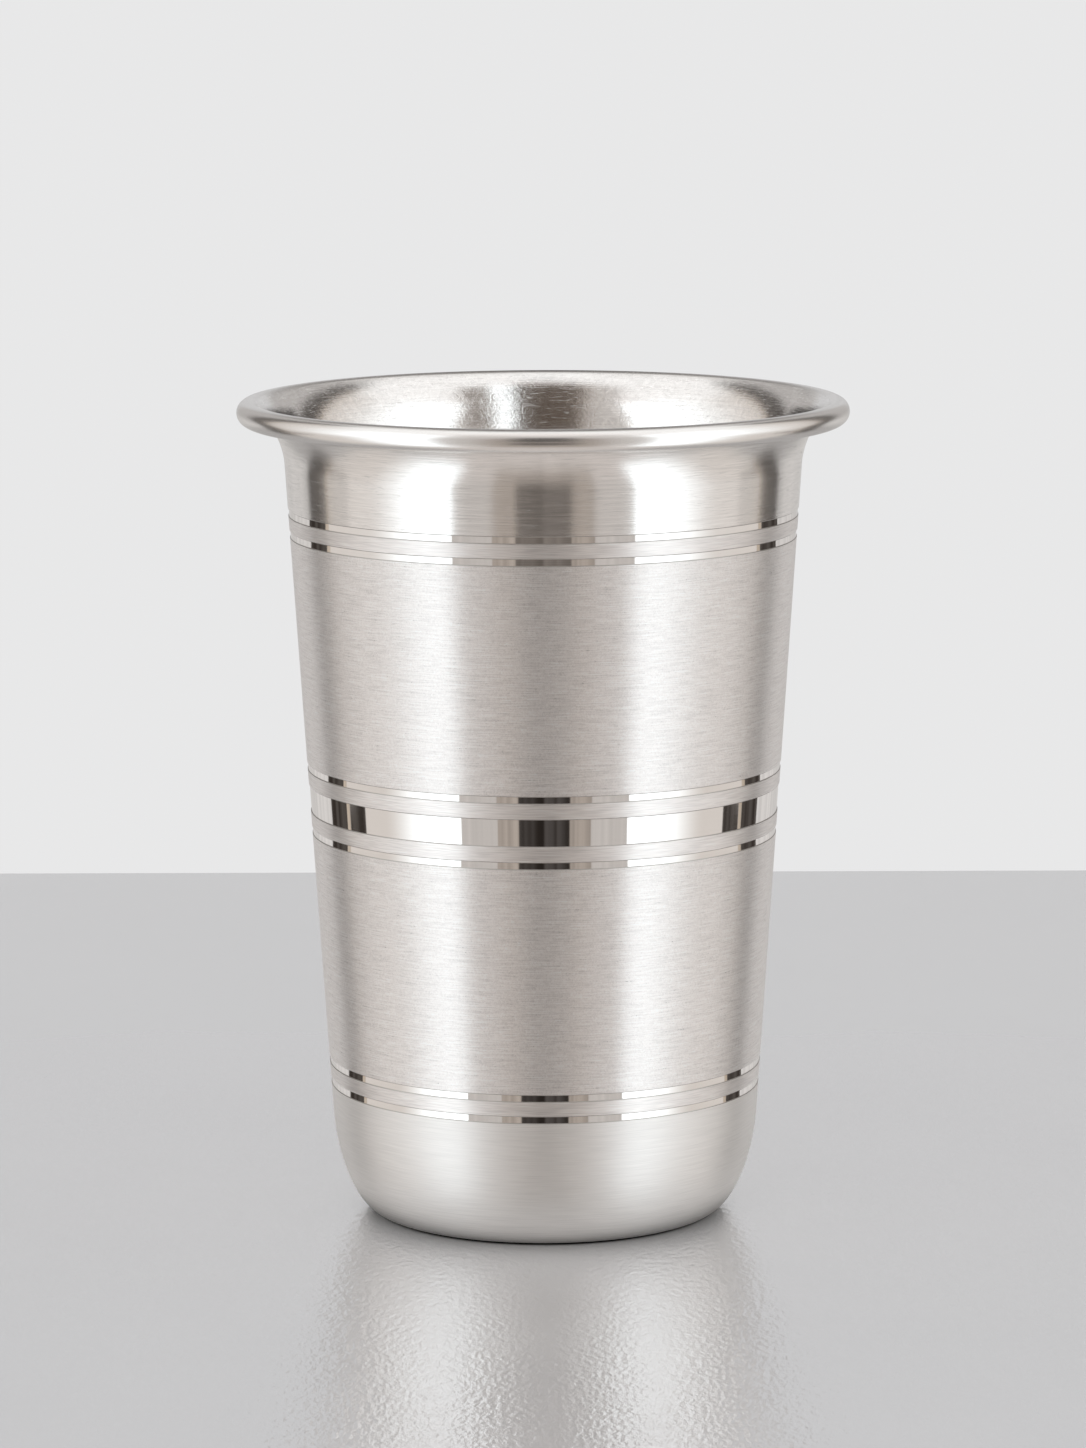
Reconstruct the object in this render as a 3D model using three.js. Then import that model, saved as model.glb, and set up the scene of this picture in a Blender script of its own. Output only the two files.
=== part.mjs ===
// A satin metal drinking tumbler. A tapered sheet wall flares into a lip whose edge is curled over
// a wire, and its lower edge is soldered into a drawn base cup with a rounded heel.
// Millimetres, +Z up, origin at the centre of the foot on the surface that it stands on.
import * as THREE from "three";

// Whole object
const overallHeight = 100;
const sheetThickness = 0.7;

// Wall: radius of the outer face where the heel ends, and as the taper would reach the rim's height
const wallRadiusAtHeel = 26.05;
const wallRadiusAtRim = 31.9;

// Flared lip and the rim curled over its wire
const lipRadius = 9.3; // hollow curve of the lip's outer face
const lipAngle = THREE.MathUtils.degToRad(54.5); // lean from upright where the curl begins
const wireRadius = 0.65;
const wireClearance = 0.1;
const curlGap = 0.4; // left between the neck and the tucked edge of the curl

// Base cup: rounded heel, flat standing ring and a centre pushed up clear of the table
const footRadius = 20.2;
const heelHeight = 12.4;
const standingRingWidth = 3.5;
const recessDepth = 1;
const recessRampWidth = 2;

// Lap joint of wall and base cup: each keeps half of the sheet beside a film of solder
const lapHeight = 3.5;
const solderFilm = 0.15;

// Bright-cut rings turned into the wall: a fine pair at each end and a broad belt between them
const ringDepth = 0.1;
const fineRingWidth = 0.95;
const pairStripWidth = 1.7; // satin strip inside a pair
const beltWidth = 3.4;
const beltStripWidth = 1.8; // satin strip between the belt and the fine ring on each side of it
const neckHeight = 13.05; // from the top of the rim down to the first ring

// Facets
const turnSegments = 48;
const lipSteps = 6;
const curlSteps = 14;
const heelSteps = 9;
const wireSides = 12;

const point = (radius, height) => new THREE.Vector2(radius, height);

// The wall's taper. A face at some depth under the outer one is the same cone moved inwards.
const wallSlope = (wallRadiusAtRim - wallRadiusAtHeel) / (overallHeight - heelHeight);
const wallLean = Math.atan(wallSlope);
const levelDepth = (depth) => depth / Math.cos(wallLean);
const wallRadius = (height) => wallRadiusAtHeel + wallSlope * (height - heelHeight);
const wallPoint = (height, depth) => point(wallRadius(height) - levelDepth(depth), height);

const jointHeight = heelHeight + lapHeight;
const halfSheet = (sheetThickness - solderFilm) / 2;

// Points along a circular arc from one angle to another.
function arc(centre, radius, from, to, steps) {
  return Array.from({ length: steps + 1 }, (_, step) => {
    const angle = THREE.MathUtils.lerp(from, to, step / steps);
    return point(centre.x + radius * Math.cos(angle), centre.y + radius * Math.sin(angle));
  });
}

// The lip's arc leaves the taper without a corner and runs on without a corner into the tighter curl.
const curlInnerRadius = wireRadius + wireClearance;
const beadRadius = curlInnerRadius + sheetThickness;
const centreDistance = lipRadius - curlInnerRadius;
const beadHeight = overallHeight - beadRadius;
const lipCentreHeight = beadHeight - centreDistance * Math.sin(lipAngle);
const lipCentre = point(wallRadius(lipCentreHeight) + levelDepth(lipRadius), lipCentreHeight);
const beadCentre = point(lipCentre.x - centreDistance * Math.cos(lipAngle), beadHeight);
const lipStart = Math.PI - wallLean;
const curlStart = Math.PI - lipAngle;

// The curl turns until its tucked edge is curlGap away from the lip's outer face.
const edgeDistance = lipRadius - curlGap;
const openAngle = Math.acos(
  (edgeDistance ** 2 - centreDistance ** 2 - beadRadius ** 2) / (2 * centreDistance * beadRadius),
);
const curlEnd = curlStart - (2 * Math.PI - openAngle);

// Lower edge and width of each bright ring, from the joint up to the neck.
function brightRings() {
  const pairHeight = 2 * fineRingWidth + pairStripWidth;
  const upperPair = overallHeight - neckHeight - pairHeight;
  const beltCentre = (jointHeight + upperPair + pairHeight) / 2; // midway between the two pairs
  const beltReach = beltWidth / 2 + beltStripWidth;
  const fine = (bottom) => ({ bottom, width: fineRingWidth });
  return [
    fine(jointHeight),
    fine(jointHeight + fineRingWidth + pairStripWidth),
    fine(beltCentre - beltReach - fineRingWidth),
    { bottom: beltCentre - beltWidth / 2, width: beltWidth },
    fine(beltCentre + beltReach),
    fine(upperPair),
    fine(upperPair + fineRingWidth + pairStripWidth),
  ];
}

// A shallow cut with sloping shoulders, from its lower edge to its upper edge.
function ringCut({ bottom, width }) {
  const top = bottom + width;
  return [
    wallPoint(bottom, 0),
    wallPoint(bottom + ringDepth, ringDepth),
    wallPoint(top - ringDepth, ringDepth),
    wallPoint(top, 0),
  ];
}

function wallProfile() {
  const profile = [
    ...brightRings().flatMap(ringCut),
    ...arc(lipCentre, lipRadius, lipStart, curlStart, lipSteps),
    ...arc(beadCentre, curlInnerRadius, curlStart, curlEnd, curlSteps).slice(1),
    ...arc(beadCentre, beadRadius, curlEnd, curlStart, curlSteps),
    ...arc(lipCentre, lipRadius + sheetThickness, curlStart, lipStart, lipSteps).slice(1),
    wallPoint(heelHeight, sheetThickness),
    wallPoint(heelHeight, sheetThickness - halfSheet),
    wallPoint(jointHeight, sheetThickness - halfSheet),
  ];
  return [...profile, profile[0]];
}

function wireProfile() {
  return arc(beadCentre, wireRadius, 0, 2 * Math.PI, wireSides);
}

function solderProfile() {
  const profile = [
    wallPoint(heelHeight, halfSheet),
    wallPoint(jointHeight, halfSheet),
    wallPoint(jointHeight, halfSheet + solderFilm),
    wallPoint(heelHeight, halfSheet + solderFilm),
  ];
  return [...profile, profile[0]];
}

// A quarter ellipse from the foot to the wall, sheared so that it ends along the wall's slope.
function heelCurve(depth) {
  const width = wallRadiusAtHeel - levelDepth(depth) - footRadius;
  return Array.from({ length: heelSteps + 1 }, (_, step) => {
    const angle = (Math.PI / 2) * (step / heelSteps);
    const height = heelHeight - (heelHeight - depth) * Math.cos(angle);
    const radius = footRadius + (width + wallSlope * (height - heelHeight)) * Math.sin(angle);
    return point(radius, height);
  });
}

function baseProfile() {
  const ringInnerRadius = footRadius - standingRingWidth;
  const recessRadius = ringInnerRadius - recessRampWidth;
  return [
    point(0, recessDepth),
    point(recessRadius, recessDepth),
    point(ringInnerRadius, 0),
    ...heelCurve(0),
    wallPoint(jointHeight, 0),
    wallPoint(jointHeight, halfSheet),
    wallPoint(heelHeight, halfSheet),
    ...heelCurve(sheetThickness).reverse(),
    point(ringInnerRadius, sheetThickness),
    point(recessRadius, recessDepth + sheetThickness),
    point(0, recessDepth + sheetThickness),
  ];
}

const satinMetal = { color: 0xc6c1bb, roughness: 0.36, metalness: 1 };
const drawnWire = { color: 0xb5b0aa, roughness: 0.45, metalness: 1 };
const greySolder = { color: 0x9c9a98, roughness: 0.55, metalness: 1 };

// A lathe turns its profile about Y, so each piece is tipped up to stand along Z.
function turnedPiece(name, profile, finish) {
  const geometry = new THREE.LatheGeometry(profile, turnSegments);
  const piece = new THREE.Mesh(geometry, new THREE.MeshStandardMaterial(finish));
  piece.name = name;
  piece.rotation.x = Math.PI / 2;
  return piece;
}

const tumbler = new THREE.Group();
tumbler.add(
  turnedPiece("base_cup", baseProfile(), satinMetal),
  turnedPiece("solder_seam", solderProfile(), greySolder),
  turnedPiece("tumbler_wall", wallProfile(), satinMetal),
  turnedPiece("rim_wire", wireProfile(), drawnWire),
);

export default tumbler;
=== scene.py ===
import math

import bpy
import numpy as np
from mathutils import Matrix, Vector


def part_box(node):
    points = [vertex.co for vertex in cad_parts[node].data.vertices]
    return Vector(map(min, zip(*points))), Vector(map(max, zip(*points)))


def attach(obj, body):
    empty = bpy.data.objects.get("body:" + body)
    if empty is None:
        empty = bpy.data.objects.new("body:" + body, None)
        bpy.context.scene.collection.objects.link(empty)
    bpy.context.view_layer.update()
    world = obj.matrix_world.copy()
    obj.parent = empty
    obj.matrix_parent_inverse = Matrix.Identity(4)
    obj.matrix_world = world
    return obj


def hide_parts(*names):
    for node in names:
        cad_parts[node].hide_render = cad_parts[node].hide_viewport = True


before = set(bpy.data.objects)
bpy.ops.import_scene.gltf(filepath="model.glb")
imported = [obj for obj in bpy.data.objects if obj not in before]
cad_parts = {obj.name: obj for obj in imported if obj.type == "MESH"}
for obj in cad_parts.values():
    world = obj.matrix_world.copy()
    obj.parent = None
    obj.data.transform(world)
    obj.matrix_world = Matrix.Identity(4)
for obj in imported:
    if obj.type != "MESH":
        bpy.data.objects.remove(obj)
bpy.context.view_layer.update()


# Base cup. The drawn bottom of the tumbler, pressed from sheet metal into a shallow cup with a rounded heel.
# Its centre is pushed up, so that it stands on a flat ring, and its upper edge is cut back to half of the
# sheet as a socket for the wall. The outside is satin brushed on the lathe.
sheet = 0.0007
solder_film = 0.00015
half_sheet = (sheet - solder_film) / 2
rim_height = 0.1
heel_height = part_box("tumbler_wall")[0].z
joint_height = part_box("base_cup")[1].z
wall_radius_at_heel = 0.02605
wall_radius_at_rim = 0.0319
foot_radius = 0.0202
standing_ring_width = 0.0035
recess_depth = 0.001
recess_ramp_width = 0.002
hub_radius = 0.0002
wall_slope = (wall_radius_at_rim - wall_radius_at_heel) / (rim_height - heel_height)
wall_lean = math.atan(wall_slope)


def wall_line(low, high, depth):
    """The straight taper between two heights, on the cone this deep under the wall's outer face."""
    height = np.array([low, high])
    radius = wall_radius_at_heel + wall_slope * (height - heel_height) - depth / math.cos(wall_lean)
    return np.stack([radius, height], axis=1)


def heel_curve(depth, steps=40):
    """A quarter ellipse from the foot up to the wall, sheared so that it ends along the wall's slope."""
    angle = np.linspace(0, math.pi / 2, steps + 1)
    width = wall_radius_at_heel - depth / math.cos(wall_lean) - foot_radius
    height = heel_height - (heel_height - depth) * np.cos(angle)
    radius = foot_radius + (width + wall_slope * (height - heel_height)) * np.sin(angle)
    return np.stack([radius, height], axis=1)


def recess_curve(rise, steps=16):
    """Half a cosine wave from the pushed-up centre down to the standing ring, this high over the table."""
    share = np.linspace(0, 1, steps + 1)
    radius = foot_radius - standing_ring_width - recess_ramp_width * (1 - share)
    height = rise + recess_depth * (1 + np.cos(math.pi * share)) / 2
    return np.stack([radius, height], axis=1)


def turned_grid(outline, turns, closed=False):
    """An outline of radius and height turned about Z, as a lathe does, as points and quads.

    Point (i, j) is the outline's point j at the angle 2 pi i / turns. The quads face to the right of the way
    that the outline runs. A closed outline ends on its first point, which isn't made twice.
    """
    count = len(outline) - 1 if closed else len(outline)
    angle = 2 * math.pi * np.arange(turns) / turns
    radius, height = outline[:count].T
    x, y = np.outer(np.cos(angle), radius), np.outer(np.sin(angle), radius)
    points = np.stack([x, y, np.tile(height, (turns, 1))], axis=2)
    turn, step = np.meshgrid(np.arange(turns), np.arange(len(outline) - 1), indexing="ij")
    here, there = turn * count, (turn + 1) % turns * count
    near, far = step, (step + 1) % count
    quads = np.stack([here + near, there + near, there + far, here + far], axis=2)
    return points.reshape(-1, 3), quads.reshape(-1, 4)


def set_out(name, points, faces):
    """A new object in the scene, with a mesh of these points and faces."""
    mesh = bpy.data.meshes.new(name)
    mesh.from_pydata(points.tolist(), [], faces)
    made = bpy.data.objects.new(name, mesh)
    bpy.context.scene.collection.objects.link(made)
    return made


def turned_piece(name, stretches, finishes, closed, turns=256):
    """A piece turned from stretches of outline, each of which names its finish.

    An open outline is closed by a fan of triangles round a pole on the axis at either end. The UV map holds
    the share of a turn and the distance run along the outline in metres.
    """
    lines = [line for _, line in stretches]
    outline = np.concatenate([line[:-1] for line in lines] + [lines[-1][-1:]])
    points, quads = turned_grid(outline, turns, closed)
    faces = quads.tolist()
    names = list(finishes)
    slot = np.concatenate([np.full(len(line) - 1, names.index(finish)) for finish, line in stretches])
    slots = np.tile(slot, turns)
    run = np.concatenate([[0.0], np.cumsum(np.linalg.norm(np.diff(outline, axis=0), axis=1))])
    turn, step = np.meshgrid(np.arange(turns), np.arange(len(slot)), indexing="ij")
    shares = np.stack([turn, turn + 1, turn + 1, turn], axis=2).ravel() / turns
    runs = np.stack([run[step], run[step], run[step + 1], run[step + 1]], axis=2).ravel()

    if not closed:
        (low_radius, low_height), (high_radius, high_height) = outline[[0, -1]]
        low_pole, high_pole = len(points), len(points) + 1
        points = np.concatenate([points, [[0, 0, low_height], [0, 0, high_height]]])
        first = np.arange(turns) * len(outline)
        last = first + len(outline) - 1
        low_fan = np.stack([np.full(turns, low_pole), np.roll(first, -1), first], axis=1)
        high_fan = np.stack([last, np.roll(last, -1), np.full(turns, high_pole)], axis=1)
        faces += low_fan.tolist() + high_fan.tolist()
        begin, middle, end = (np.arange(turns) + part for part in (0, 0.5, 1))
        low_shares = np.stack([middle, end, begin], axis=1).ravel() / turns
        high_shares = np.stack([begin, end, middle], axis=1).ravel() / turns
        shares = np.concatenate([shares, low_shares, high_shares])
        low_runs = np.tile([-low_radius, 0.0, 0.0], turns)
        high_runs = np.tile([run[-1], run[-1], run[-1] + high_radius], turns)
        runs = np.concatenate([runs, low_runs, high_runs])
        slots = np.concatenate([slots, np.full(turns, slot[0]), np.full(turns, slot[-1])])

    piece = set_out(name, points, faces)
    mesh = piece.data
    mesh.uv_layers.new(name="lathe").data.foreach_set("uv", np.stack([shares, runs], axis=1).ravel())
    for finish in finishes.values():
        mesh.materials.append(finish)
    mesh.polygons.foreach_set("material_index", slots.astype(np.int32))
    sharp_angle = math.radians(25)
    mesh.shade_smooth()
    mesh.set_sharp_from_angle(angle=sharp_angle)
    mesh.update()
    return piece


class Lead:
    """A socket in a node tree. Arithmetic on leads and numbers adds the Math nodes that work it out."""

    def __init__(self, tree, socket=None):
        self.tree = tree
        self.socket = socket

    def node(self, kind, settings=None, inputs=None, output=0):
        """Adds a node: its settings first, then its inputs' values or links. Gives one of its outputs."""
        made = self.tree.nodes.new(kind)
        for name, value in (settings or {}).items():
            setattr(made, name, value)
        for key, value in (inputs or {}).items():
            if isinstance(value, Lead):
                self.tree.links.new(value.socket, made.inputs[key])
            else:
                made.inputs[key].default_value = value
        return Lead(self.tree, made.outputs[output] if made.outputs else None)

    def maths(self, operation, first, second=0.0):
        """The result of a Math node on one or two leads or numbers."""
        return self.node("ShaderNodeMath", {"operation": operation}, {0: first, 1: second})

    def axis(self, number):
        """The X, Y or Z of this vector, by the numbers 0, 1 and 2."""
        return self.node("ShaderNodeSeparateXYZ", inputs={0: self}, output=number)

    def stretched(self, factors):
        """This vector with its X, Y and Z multiplied by three factors."""
        return self.node("ShaderNodeVectorMath", {"operation": "MULTIPLY"}, {0: self, 1: factors})

    def length(self):
        """The length of this vector."""
        return self.node("ShaderNodeVectorMath", {"operation": "LENGTH"}, {0: self}, output=1)

    def smooth_step(self, low, high):
        """0 up to the low value and 1 from the high one, with a smooth rise between them."""
        return self.node(
            "ShaderNodeMapRange",
            {"interpolation_type": "SMOOTHSTEP"},
            {"Value": self, "From Min": low, "From Max": high},
        )

    def blend(self, first, second):
        """The first colour where this is 0, the second where it is 1. Colours are leads or RGB numbers."""
        ends = [end if isinstance(end, Lead) else (*end, 1) for end in (first, second)]
        return self.node(
            "ShaderNodeMix", {"data_type": "RGBA"}, {"Factor": self, 6: ends[0], 7: ends[1]}, output=2
        )

    def __add__(self, other):
        return self.maths("ADD", self, other)

    __radd__ = __add__

    def __sub__(self, other):
        return self.maths("SUBTRACT", self, other)

    def __rsub__(self, other):
        return self.maths("SUBTRACT", other, self)

    def __mul__(self, other):
        return self.maths("MULTIPLY", self, other)

    __rmul__ = __mul__


def new_tree(name):
    """A new material and a lead into its empty node tree."""
    material = bpy.data.materials.new(name)
    material.use_nodes = True
    material.node_tree.nodes.clear()
    return material, Lead(material.node_tree)


def lathe_metal(
    name, colour, roughness, brushing, grain=0.0, stroke_length=0.005, lines=0.0,
    scuffs=0.0, scuff_size=0.0011, haze=0.0, scratches=0.0, depth=0.00001
):
    """Silver-coloured metal worked on a lathe, so its marks run round the axis.

    brushing is how much more it blurs along the axis than round it. grain is the strength of the short brush
    strokes, lines that of fine turned lines that go all the way round, and scuffs that of small stray dents.
    haze is the share of a much rougher reflection that lies over the main one, and scratches adds more of it
    along thin wavering lines. depth is how deep the marks go.
    """
    stroke_width = 0.00009
    line_pitch = 0.00035
    contrast = 0.3
    roughness_swing = 0.12
    quarter_turn = 0.25
    material, start = new_tree(name)
    place = start.node("ShaderNodeTexCoord", output="Object")
    x, y = place.axis(0), place.axis(1)
    run = start.node("ShaderNodeUVMap", {"uv_map": "lathe"}).axis(1)

    def drawn_out(length, width, **settings):
        """Noise with its grains drawn out to this length round the axis and this width along the outline."""
        parts = {0: x * (1 / length), 1: y * (1 / length), 2: run * (1 / width)}
        drawn = start.node("ShaderNodeCombineXYZ", inputs=parts)
        return start.node("ShaderNodeTexNoise", inputs={"Vector": drawn, "Scale": 1.0, **settings})

    stroke = drawn_out(stroke_length, stroke_width, Detail=1.0, Roughness=0.6)
    line = start.node(
        "ShaderNodeTexNoise",
        {"noise_dimensions": "1D"},
        {"W": run * (1 / line_pitch), "Scale": 1.0, "Detail": 3.0, "Roughness": 0.65},
    )
    scuff = start.node(
        "ShaderNodeTexNoise",
        inputs={
            "Vector": place,
            "Scale": 1 / scuff_size,
            "Detail": 3.0,
            "Roughness": 0.7,
            "Distortion": 1.5,
        },
    )
    marks = (stroke - 0.5) * grain + (line - 0.5) * lines + (scuff - 0.5) * scuffs
    darker = tuple((1 - contrast) * part for part in colour)
    lighter = tuple((1 + contrast) * part for part in colour)
    shade = (marks + 0.5).blend(darker, lighter)
    bump = start.node("ShaderNodeBump", inputs={"Strength": 1.0, "Distance": depth, "Height": marks})
    metal = {"Base Color": shade, "Metallic": 1.0, "Anisotropic Rotation": quarter_turn, "Normal": bump}
    surface = start.node(
        "ShaderNodeBsdfPrincipled",
        inputs={**metal, "Anisotropic": brushing, "Roughness": roughness + marks * roughness_swing},
    )
    if haze:
        haze_roughness = 0.85
        scratch_length, scratch_width = 0.0025, 0.00022
        scratch_none, scratch_full = 0.58, 0.72
        scratch = drawn_out(scratch_length, scratch_width, Detail=2.0, Distortion=0.8)
        share = scratch.smooth_step(scratch_none, scratch_full) * scratches + haze
        hazy = start.node("ShaderNodeBsdfPrincipled", inputs={**metal, "Roughness": haze_roughness})
        surface = start.node("ShaderNodeMixShader", inputs={0: share, 1: surface, 2: hazy})
    start.node("ShaderNodeOutputMaterial", inputs={"Surface": surface})
    return material


silver = (0.925, 0.912, 0.9)
satin = (0.938, 0.912, 0.9)
base_satin = lathe_metal("base_satin", (0.95, 0.936, 0.924), 0.46, 0.72, grain=0.3, haze=0.39)
foot_turned = lathe_metal("foot_turned", silver, 0.34, 0.6, lines=0.6, scuffs=0.2)
socket_metal = lathe_metal("socket_metal", silver, 0.5, 0.3, lines=0.4)
lining_polish = lathe_metal(
    "lining_polish", silver, 0.16, 0.6,
    grain=0.4, stroke_length=0.006, lines=0.12, scuffs=0.7, haze=0.08, scratches=0.4, depth=0.00002
)

hub = np.array([[hub_radius, recess_depth]])
lifted_hub = hub + (0, sheet)
heel_outer = heel_curve(0.0)
heel_inner = heel_curve(sheet)[::-1]
socket_edge = wall_line(heel_height, joint_height, 0.0)[1:]
socket_face = wall_line(heel_height, joint_height, half_sheet)[::-1]
base_cup = turned_piece(
    "base_cup_shell",
    [
        ("foot", np.concatenate([hub, recess_curve(0.0), heel_outer[:1]])),
        ("satin", np.concatenate([heel_outer, socket_edge])),
        ("socket", np.concatenate([socket_edge, socket_face, heel_inner[:1]])),
        ("lining", np.concatenate([heel_inner, recess_curve(sheet)[::-1], lifted_hub])),
    ],
    {"foot": foot_turned, "satin": base_satin, "socket": socket_metal, "lining": lining_polish},
    closed=False,
)
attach(base_cup, "root")
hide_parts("base_cup")


# Solder seam. A thin film of grey hard solder that fills the lap between the base cup and the wall.
# It is hidden in the joint, so the plain turned ring stays and only takes its dull, slightly grainy finish.
solder_grey = lathe_metal("solder_grey", (0.61, 0.6, 0.595), 0.55, 0.0, scuffs=0.5)
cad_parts["solder_seam"].data.materials.clear()
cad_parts["solder_seam"].data.materials.append(solder_grey)


# Tumbler wall. A tapered sheet tube whose top is spun outwards into a lip and curled down over a wire.
# Fine bright rings and a broad belt are cut into it with a polished tool, and the satin brushing
# between them stops at their edges. The neck above the upper rings is left glossier.
ring_depth = 0.0001
fine_ring_width = 0.00095
fine_ring_tilt = math.radians(4.5)
pair_strip_width = 0.0017
belt_width = 0.0034
belt_strip_width = 0.0018
neck_height = 0.01305
lip_radius = 0.0093
lip_angle = math.radians(54.5)
wire_clearance = 0.0001
curl_gap = 0.0004
wire_low, wire_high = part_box("rim_wire")
wire_radius = (wire_high.z - wire_low.z) / 2


def arc(centre, radius, begin, end, steps):
    """A circular arc about a centre, from one angle to another."""
    angle = np.linspace(begin, end, steps + 1)
    return np.stack([centre[0] + radius * np.cos(angle), centre[1] + radius * np.sin(angle)], axis=1)


def ring_cut(bottom, width, tilt):
    """A shallow flat cut, tilted from the taper to face up, with a sloping shoulder at either edge."""
    top = bottom + width
    face = wall_line(bottom, top, 0.0)
    low, high = bottom + ring_depth, top - ring_depth
    sink = math.tan(tilt) * (high - low) / 2
    floor_low = wall_line(low, high, ring_depth - sink)[0]
    floor_high = wall_line(low, high, ring_depth + sink)[1]
    return [
        ("edge", np.stack([face[0], floor_low])),
        ("bright", np.stack([floor_low, floor_high])),
        ("edge", np.stack([floor_high, face[1]])),
    ]


curl_inner_radius = wire_radius + wire_clearance
bead_radius = curl_inner_radius + sheet
centre_distance = lip_radius - curl_inner_radius
bead_height = rim_height - bead_radius
lip_centre_height = bead_height - centre_distance * math.sin(lip_angle)
lip_centre_radius = wall_line(lip_centre_height, rim_height, 0.0)[0, 0] + lip_radius / math.cos(wall_lean)
lip_centre = np.array([lip_centre_radius, lip_centre_height])
bead_centre = np.array([lip_centre_radius - centre_distance * math.cos(lip_angle), bead_height])
lip_start = math.pi - wall_lean
curl_start = math.pi - lip_angle
edge_distance = lip_radius - curl_gap
curl_open = math.acos(
    (edge_distance**2 - centre_distance**2 - bead_radius**2) / (2 * centre_distance * bead_radius)
)
curl_end = curl_start - (2 * math.pi - curl_open)

pair_height = 2 * fine_ring_width + pair_strip_width
upper_pair = rim_height - neck_height - pair_height
belt_centre = (joint_height + upper_pair + pair_height) / 2
belt_reach = belt_width / 2 + belt_strip_width
cuts = [
    (joint_height, fine_ring_width),
    (joint_height + fine_ring_width + pair_strip_width, fine_ring_width),
    (belt_centre - belt_reach - fine_ring_width, fine_ring_width),
    (belt_centre - belt_width / 2, belt_width),
    (belt_centre + belt_reach, fine_ring_width),
    (upper_pair, fine_ring_width),
    (upper_pair + fine_ring_width + pair_strip_width, fine_ring_width),
]
lip_outer = arc(lip_centre, lip_radius, lip_start, curl_start, 32)
lip_inner = arc(lip_centre, lip_radius + sheet, curl_start, lip_start, 32)
curl_inner = arc(bead_centre, curl_inner_radius, curl_start, curl_end, 40)
bead_outer = arc(bead_centre, bead_radius, curl_end, curl_start, 80)
tongue_inner = wall_line(heel_height, joint_height, sheet)
tongue_outer = wall_line(heel_height, joint_height, sheet - half_sheet)
lowest_cut = wall_line(joint_height, rim_height, 0.0)[:1]

wall_stretches = []
plain_finishes = ["strip", "satin", "strip", "strip", "satin", "strip", "neck"]
plain_ends = [bottom for bottom, _ in cuts[1:]] + [lip_outer[0, 1]]
for (bottom, width), finish, end in zip(cuts, plain_finishes, plain_ends):
    wall_stretches += ring_cut(bottom, width, fine_ring_tilt if width == fine_ring_width else 0.0)
    wall_stretches.append((finish, wall_line(bottom + width, end, 0.0)))
wall_stretches += [
    ("neck", lip_outer),
    ("hidden", curl_inner),
    ("hidden", np.stack([curl_inner[-1], bead_outer[0]])),
    ("bead", bead_outer),
    ("lining", lip_inner),
    ("lining", np.stack([lip_inner[-1], tongue_inner[0]])),
    ("hidden", np.concatenate([tongue_inner[:1], tongue_outer, lowest_cut])),
]
wall_finishes = {
    "satin": lathe_metal(
        "wall_satin", satin, 0.31, 0.97,
        grain=0.75, stroke_length=0.003, scuffs=0.85, scuff_size=0.0003, haze=0.43
    ),
    "strip": lathe_metal("strip_satin", satin, 0.36, 0.78, grain=0.8, stroke_length=0.003, haze=0.36),
    "bright": lathe_metal("bright_cut", silver, 0.04, 0.3, lines=0.06),
    "edge": lathe_metal("cut_edge", (0.5, 0.48, 0.46), 0.45, 0.5, lines=0.2),
    "neck": lathe_metal(
        "neck_polish", silver, 0.21, 0.95,
        grain=0.5, stroke_length=0.004, lines=0.25, haze=0.05, scratches=0.2
    ),
    "bead": lathe_metal("bead_polish", silver, 0.25, 0.4, grain=0.08, lines=0.1, haze=0.06),
    "lining": lining_polish,
    "hidden": socket_metal,
}
tumbler_wall = turned_piece("tumbler_wall_shell", wall_stretches, wall_finishes, closed=True)
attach(tumbler_wall, "root")
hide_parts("tumbler_wall")


# Rim wire. A drawn round wire bent into a hoop, over which the wall's edge is curled, to stiffen the rim.
# It lies hidden in the curl, whose narrow open side faces the neck.
wire_drawn = lathe_metal("wire_drawn", (0.71, 0.69, 0.667), 0.45, 0.3, lines=0.3)
wire_section = arc(bead_centre, wire_radius, 0, 2 * math.pi, 24)
rim_wire = turned_piece("rim_wire_hoop", [("drawn", wire_section)], {"drawn": wire_drawn}, closed=True)
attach(rim_wire, "root")
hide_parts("rim_wire")


# Table. A pale grey board with a satin sheen and fine pores, whose back edge lies behind the tumbler.
# It stays out of the metal's reflections, which show only the studio, and is clear from below, so that the
# foot can be looked at. A near-black shadow is painted on it in the narrow gap where the heel comes down
# to it.
table_back = 0.232
table_front = -2.0
table_side = 1.5
pore_stretch = (1350.0, 680.0, 1.0)
pore_depth = 0.00014
cloud_scale = 25.0
board_dark_grey, board_pale_grey = (0.855, 0.855, 0.865), (0.955, 0.955, 0.965)
board_polish = (0.985, 0.985, 0.985, 1)
board_polish_roughness = 0.1
sheen_index, sheen_gain = 1.6, 2.1
# The colour of the shadow painted into the gap under the heel.
gap_painted_shadow = (0.004, 0.003, 0.003, 1)
gap_oval = (1.04, 1.0, 1.0)
gap_dark_radius, gap_open_radius = foot_radius + 0.0007, foot_radius + 0.0019
table_corners = np.array(
    [
        (-table_side, table_front, 0.0),
        (table_side, table_front, 0.0),
        (table_side, table_back, 0.0),
        (-table_side, table_back, 0.0),
    ]
)
table = set_out("table", table_corners, [(0, 1, 2, 3)])
table.visible_glossy = False
table_board, board = new_tree("table_board")
board_place = board.node("ShaderNodeTexCoord", output="Object")
board_pores = board.node(
    "ShaderNodeTexNoise", inputs={"Vector": board_place.stretched(pore_stretch), "Scale": 1.0, "Detail": 2.0}
)
board_bump = board.node(
    "ShaderNodeBump", inputs={"Strength": 1.0, "Distance": pore_depth, "Height": board_pores}
)
board_clouds = board.node(
    "ShaderNodeTexNoise", inputs={"Vector": board_place, "Scale": cloud_scale, "Detail": 4.0}
)
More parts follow.
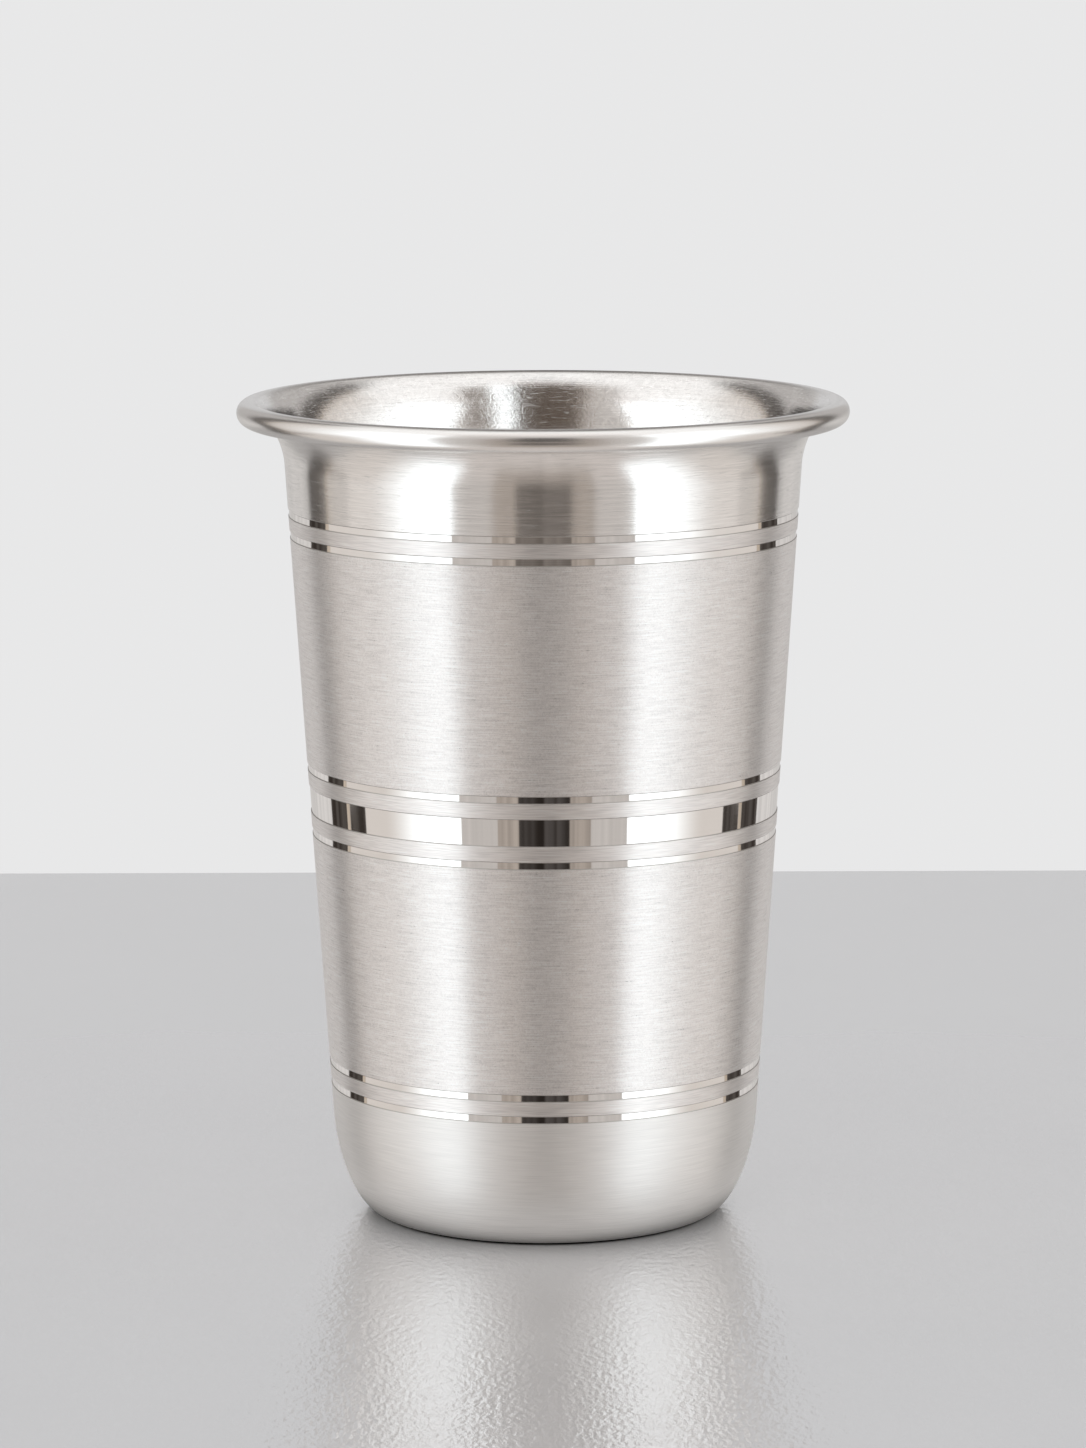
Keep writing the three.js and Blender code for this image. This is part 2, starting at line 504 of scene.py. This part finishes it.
board_matt = board.node(
    "ShaderNodeBsdfPrincipled",
    inputs={
        "Base Color": board_clouds.blend(board_dark_grey, board_pale_grey),
        "Roughness": 1.0,
        "Specular IOR Level": 0.0,
    },
)
board_gloss = board.node(
    "ShaderNodeBsdfPrincipled",
    inputs={
        "Base Color": board_polish,
        "Metallic": 1.0,
        "Roughness": board_polish_roughness,
        "Normal": board_bump,
    },
)
board_sheen = board.node("ShaderNodeFresnel", inputs={"IOR": sheen_index}) * sheen_gain
board_top = board.node("ShaderNodeMixShader", inputs={0: board_sheen, 1: board_matt, 2: board_gloss})
# Painted contact shadow: near black in a narrow ring round the foot, under the heel, fading out beyond it.
board_out_of_shadow = board_place.stretched(gap_oval).length().smooth_step(gap_dark_radius, gap_open_radius)
board_gap_shadow = board.node("ShaderNodeBsdfDiffuse", inputs={"Color": gap_painted_shadow})
board_shaded = board.node("ShaderNodeMixShader", inputs={0: board_out_of_shadow, 1: board_gap_shadow, 2: board_top})
board_below = board.node("ShaderNodeNewGeometry", output="Backfacing")
board_clear = board.node("ShaderNodeBsdfTransparent")
board_surface = board.node("ShaderNodeMixShader", inputs={0: board_below, 1: board_shaded, 2: board_clear})
board.node("ShaderNodeOutputMaterial", inputs={"Surface": board_surface})
table.data.materials.append(table_board)

# The shade round the foot, a flat ring just under the table's face, which the heel's metal shows.
shade_turns = 64
shade_sink = 0.0004
shade_inner_radius, shade_outer_radius = foot_radius - 0.0003, 0.033
shade_dark_radius, shade_pale_radius = foot_radius + 0.0003, foot_radius + 0.0052
shade_oval = (0.88, 1.0, 1.0)
shade_near, shade_far = (0.05, 0.048, 0.046), (0.54, 0.522, 0.51)


def reflections_only(made):
    """Leaves an object to be seen in reflections and nowhere else."""
    made.visible_camera = False
    made.visible_diffuse = False
    made.visible_shadow = False


def front_glow(start, colour, seen=1.0):
    """Ends a tree with a glow on front faces, as far as they are seen, and leaves the rest clear."""
    front = 1.0 - start.node("ShaderNodeNewGeometry", output="Backfacing")
    clear = start.node("ShaderNodeBsdfTransparent")
    glow = start.node("ShaderNodeEmission", inputs={"Color": colour, "Strength": 1.0})
    surface = start.node("ShaderNodeMixShader", inputs={0: front * seen, 1: clear, 2: glow})
    start.node("ShaderNodeOutputMaterial", inputs={"Surface": surface})


shade_line = np.array([[shade_outer_radius, -shade_sink], [shade_inner_radius, -shade_sink]])
shade_points, shade_quads = turned_grid(shade_line, shade_turns)
foot_shade = set_out("foot_shade", shade_points, shade_quads.tolist())
reflections_only(foot_shade)
shade_dark, dark = new_tree("shade_dark")
dark_reach = dark.node("ShaderNodeTexCoord", output="Object").stretched(shade_oval).length()
front_glow(dark, dark_reach.smooth_step(shade_dark_radius, shade_pale_radius).blend(shade_near, shade_far))
foot_shade.data.materials.append(shade_dark)


# Studio. Tall soft boxes, grey boards and black flags stand all round the tumbler, under a bright ceiling.
# They are painted on one large dome that lights the part and shows in its metal, and that the camera looks
# through. The table has a plain pale sky of its own, and two cards near the rim show in the lining.
dome_radius = 4.0
sky_radius = 4.5
dome_turns = 96
dome_steps = 48


def dome(name, radius, table_light):
    """A sphere about the origin, facing inwards and open at the poles, that the camera looks through.

    It lights the table alone, or everything but the table.
    """
    rise = np.linspace(math.pi / 2, -math.pi / 2, dome_steps + 1)[1:-1]
    points, quads = turned_grid(radius * np.stack([np.cos(rise), np.sin(rise)], axis=1), dome_turns)
    made = set_out(name, points, quads.tolist())
    made.visible_camera = False
    made.visible_shadow = False
    lit = bpy.data.collections.new(name + "_lit")
    lit.objects.link(table)
    lit.collection_objects[0].light_linking.link_state = "INCLUDE" if table_light else "EXCLUDE"
    made.light_linking.receiver_collection = lit
    return made


studio_dome = dome("studio_dome", dome_radius, table_light=False)
studio_light, light = new_tree("studio_light")

# Places on the dome are in degrees: turn is the angle from the front to either side, and rise the angle up.
# What leans stands this much further round above the table's level than below it.
lean = 12.0
lean_reach = 8.0
degrees = 180 / math.pi
light_place = light.node("ShaderNodeTexCoord", output="Object")
light_x, light_y, light_z = (light_place.axis(number) for number in range(3))
bearing = light.maths("ARCTAN2", light_x, light_y * -1.0) * degrees
turn = light.maths("ABSOLUTE", bearing)
rise = light.maths("ARCSINE", light_z * (1 / dome_radius)) * degrees
leaning_turn = turn - rise.smooth_step(-lean_reach, lean_reach) * lean


def between(value, low, high, edge):
    """1 between two values and 0 outside them, over soft edges this wide."""
    above_low = value.smooth_step(low - edge / 2, low + edge / 2)
    return above_low - value.smooth_step(high - edge / 2, high + edge / 2)


def upright_streaks(pitch, detail):
    """Noise in upright streaks, about this many degrees of bearing apart."""
    return light.node(
        "ShaderNodeTexNoise",
        {"noise_dimensions": "1D"},
        {"W": bearing * (1 / pitch), "Scale": 1.0, "Detail": detail},
    )


flicker_pitch = 5.0
flicker_range = (0.35, 0.65)
flicker = upright_streaks(flicker_pitch, 1.0).smooth_step(*flicker_range)
black = flicker.blend((0.025, 0.02, 0.017), (0.068, 0.06, 0.056))
dusk = flicker.blend((0.035, 0.028, 0.024), (0.08, 0.07, 0.063))
amber = (0.5, 0.42, 0.34)
tan = (0.385, 0.335, 0.295)
grey = (0.54, 0.505, 0.48)
stone = (0.62, 0.58, 0.555)
white = (1.5, 1.57, 1.6)
cream = (0.68, 0.63, 0.59)
pale = (0.68, 0.655, 0.636)
backdrop = (0.6, 0.58, 0.563)
slate = (0.46, 0.44, 0.427)
mist = (0.612, 0.609, 0.614)
shadow = (0.18, 0.168, 0.16)
half_tone = (0.38, 0.37, 0.362)
ground_fade = (50.0, 110.0)
ceiling_fade = (35.0, 70.0)
horizon = (-10.0, 20.0)
ground = turn.smooth_step(*ground_fade).blend((0.62, 0.57, 0.54), (0.42, 0.405, 0.395))
ceiling = turn.smooth_step(*ceiling_fade).blend((0.93, 0.875, 0.85), (1.02, 1.01, 1.0))
studio = rise.smooth_step(*horizon).blend(ground, ceiling)

# Each board has its measure across, its two sides on that measure, its low and high rise, how soft its low
# and high edges are, all in degrees, and its colour. A later board stands in front of an earlier one.
side_edge = 0.8
front_edge = 41.4
soft_box_edge = 111.5
past_back = 181
boards = [
    (turn, -1, front_edge, 30, 60, 12.0, stone),
    (turn, -1, 23, -45, 34, 10.0, tan),
    (turn, -1, 12.4, -23, -4, 6.0, black),
    (turn, -1, 12.4, 5, 43, 8.0, black),
    (turn, 23, front_edge, -28, 34, 10.0, grey),
    (leaning_turn, soft_box_edge, 114.3, -27, 52, 10.0, amber),
    (leaning_turn, 114.3, 130, -27, 52, 10.0, dusk),
    (leaning_turn, 130, 150, -15, 70, 10.0, pale),
    (leaning_turn, 150, past_back, -15, 70, 10.0, backdrop),
    (leaning_turn, 130, past_back, -3, 46, 10.0, slate),
    (turn, 165, past_back, -5, 21, 4.0, mist),
    (turn, 160, past_back, 21, 31, 4.0, half_tone),
    (turn, 158, past_back, 30, 68, 6.0, shadow),
]
for across, near, far, low, high, edge, colour in boards:
    studio = (between(across, near, far, side_edge) * between(rise, low, high, edge)).blend(studio, colour)

# The streaks are strong in front, and calmer beyond the tan board.
streak_pitch = 4.0
calm_turn = (21.0, 25.0)
calm_share = 0.65
streaks = upright_streaks(streak_pitch, 2.0) - 0.5
streak_gain = streaks * (1.0 - turn.smooth_step(*calm_turn) * calm_share) + 1.0
studio = light.node("ShaderNodeVectorMath", {"operation": "SCALE"}, {0: studio, "Scale": streak_gain})

# The two soft boxes fade from white in front to cream at the sides, sooner low down than high up. A small
# flag stands before each of them at its far side.
soft_box_sides = (31.0, soft_box_edge)
soft_box_front = (41.0, 41.8)
soft_box_rise = (-50.0, 47.0)
soft_box_rise_edge = 10.0
low_fade, high_fade = (52.0, 86.0), (50.0, 122.0)
fade_change = (-8.0, 6.0)
upper = rise.smooth_step(*fade_change)
fading = turn.smooth_step(*low_fade) * (1.0 - upper) + turn.smooth_step(*high_fade) * upper
soft_turn = between(leaning_turn, *soft_box_sides, side_edge) * turn.smooth_step(*soft_box_front)
soft_box = soft_turn * between(rise, *soft_box_rise, soft_box_rise_edge)
studio = soft_box.blend(studio, fading.blend(white, cream))
flag_sides = (99.0, soft_box_edge)
flag_rise = (-17.0, -12.7)
flag_rise_edge = 1.0
inner_flag = between(turn, *flag_sides, side_edge) * between(rise, *flag_rise, flag_rise_edge)
studio = inner_flag.blend(studio, dusk)
glow = light.node("ShaderNodeEmission", inputs={"Color": studio, "Strength": 1.0})
glow_clear = light.node("ShaderNodeBsdfTransparent")
glow_through = light.node("ShaderNodeAddShader", inputs={0: glow, 1: glow_clear})
light.node("ShaderNodeOutputMaterial", inputs={"Surface": glow_through})
studio_dome.data.materials.append(studio_light)

# A plain pale sky outside the boards, for the table alone.
sky_grey = (0.605, 0.602, 0.608, 1)
table_sky = dome("table_sky", sky_radius, table_light=True)
sky_light, sky = new_tree("sky_light")
sky_glow = sky.node("ShaderNodeEmission", inputs={"Color": sky_grey, "Strength": 1.0})
sky.node("ShaderNodeOutputMaterial", inputs={"Surface": sky_glow})
table_sky.data.materials.append(sky_light)

# The front boards again, as a curtain over the mouth. Only the far side of the polished lining shows it.
# Its bands fan out: fan is a point's place to the side, over its slanting distance from the far lining plus
# the curtain's distance from the axis.
curtain_place = -0.02
curtain_half_width = 0.25
curtain_low, curtain_high = rim_height, 0.7
curtain_fade_low, curtain_fade_high = 0.4, 0.55
lining_radius, lining_height = 0.032, 0.097
walnut = (0.24, 0.205, 0.18)
umber = (0.06, 0.036, 0.02)
walnut_to_grey = (-0.24, -0.18)
bands = [(-0.2, -0.11, white), (-0.11, 0.19, tan), (-0.11, 0.15, umber)]
band_edge = 0.02
curtain_sides = (-0.35, 0.32)
curtain_edge = 0.04


def upright_card(name, place, side, low, high):
    """A card for reflections only, from x = side to -side at y = place. A side over 0 faces it to +Y."""
    corners = np.array([(side, place, low), (-side, place, low), (-side, place, high), (side, place, high)])
    card = set_out(name, corners, [(0, 1, 2, 3)])
    reflections_only(card)
    return card


curtain = upright_card("front_curtain", curtain_place, curtain_half_width, curtain_low, curtain_high)
curtain_cloth, cloth = new_tree("curtain_cloth")
cloth_place = cloth.node("ShaderNodeTexCoord", output="Object")
cloth_x, cloth_z = cloth_place.axis(0), cloth_place.axis(2)
lining_distance = lining_radius - curtain_place
cloth_rise = cloth_z - lining_height
slant = cloth.maths("SQRT", cloth_rise * cloth_rise + lining_distance**2)
fan = cloth.maths("DIVIDE", cloth_x * -1.0, slant + (lining_distance - lining_radius))
cloth_shade = fan.smooth_step(*walnut_to_grey).blend(walnut, grey)
for near, far, colour in bands:
    cloth_shade = between(fan, near, far, band_edge).blend(cloth_shade, colour)
cloth_fade = 1.0 - cloth_z.smooth_step(curtain_fade_low, curtain_fade_high)
front_glow(cloth, cloth_shade, between(fan, *curtain_sides, curtain_edge) * cloth_fade)
curtain.data.materials.append(curtain_cloth)

# A low dark card behind the far rim, peaked in the middle, which both ends of the lining show.
peak_place = 0.06
peak_half_width = 0.03
peak_low, peak_high = rim_height, 0.12
peak_height = 0.1181
peak_fall = 0.55
peak_edge = 0.0003
peak_black = (0.016, 0.013, 0.011, 1)
peak = upright_card("rim_card", peak_place, -peak_half_width, peak_low, peak_high)
peak_paint, paint = new_tree("peak_paint")
paint_place = paint.node("ShaderNodeTexCoord", output="Object")
paint_top = peak_height - paint.maths("ABSOLUTE", paint_place.axis(0)) * peak_fall
front_glow(paint, peak_black, (paint_top - paint_place.axis(2)).smooth_step(-peak_edge, peak_edge))
peak.data.materials.append(peak_paint)

wall_white = (0.807, 0.807, 0.81, 1)
world = bpy.data.worlds.new("pale_wall")
world.use_nodes = True
world.node_tree.nodes["Background"].inputs["Color"].default_value = wall_white
bpy.context.scene.world = world
bpy.context.scene.view_settings.view_transform = "Standard"


# Camera. A long lens in front of the tumbler and a little above its rim, looking down on it and rolled by
# a sixth of a degree.
picture_height = 1448
focal_pixels = 6107
camera_place = (-0.00012, -0.7374, 0.17425)
camera_pitch = math.radians(8.802)
camera_roll = math.radians(-0.163)
camera_data = bpy.data.cameras.new("camera")
camera_data.sensor_width = 36.0
camera_data.lens = camera_data.sensor_width * focal_pixels / picture_height
camera = bpy.data.objects.new("camera", camera_data)
camera.matrix_world = (
    Matrix.Translation(camera_place)
    @ Matrix.Rotation(math.pi / 2 - camera_pitch, 4, "X")
    @ Matrix.Rotation(camera_roll, 4, "Z")
)
bpy.context.scene.collection.objects.link(camera)
bpy.context.scene.camera = camera
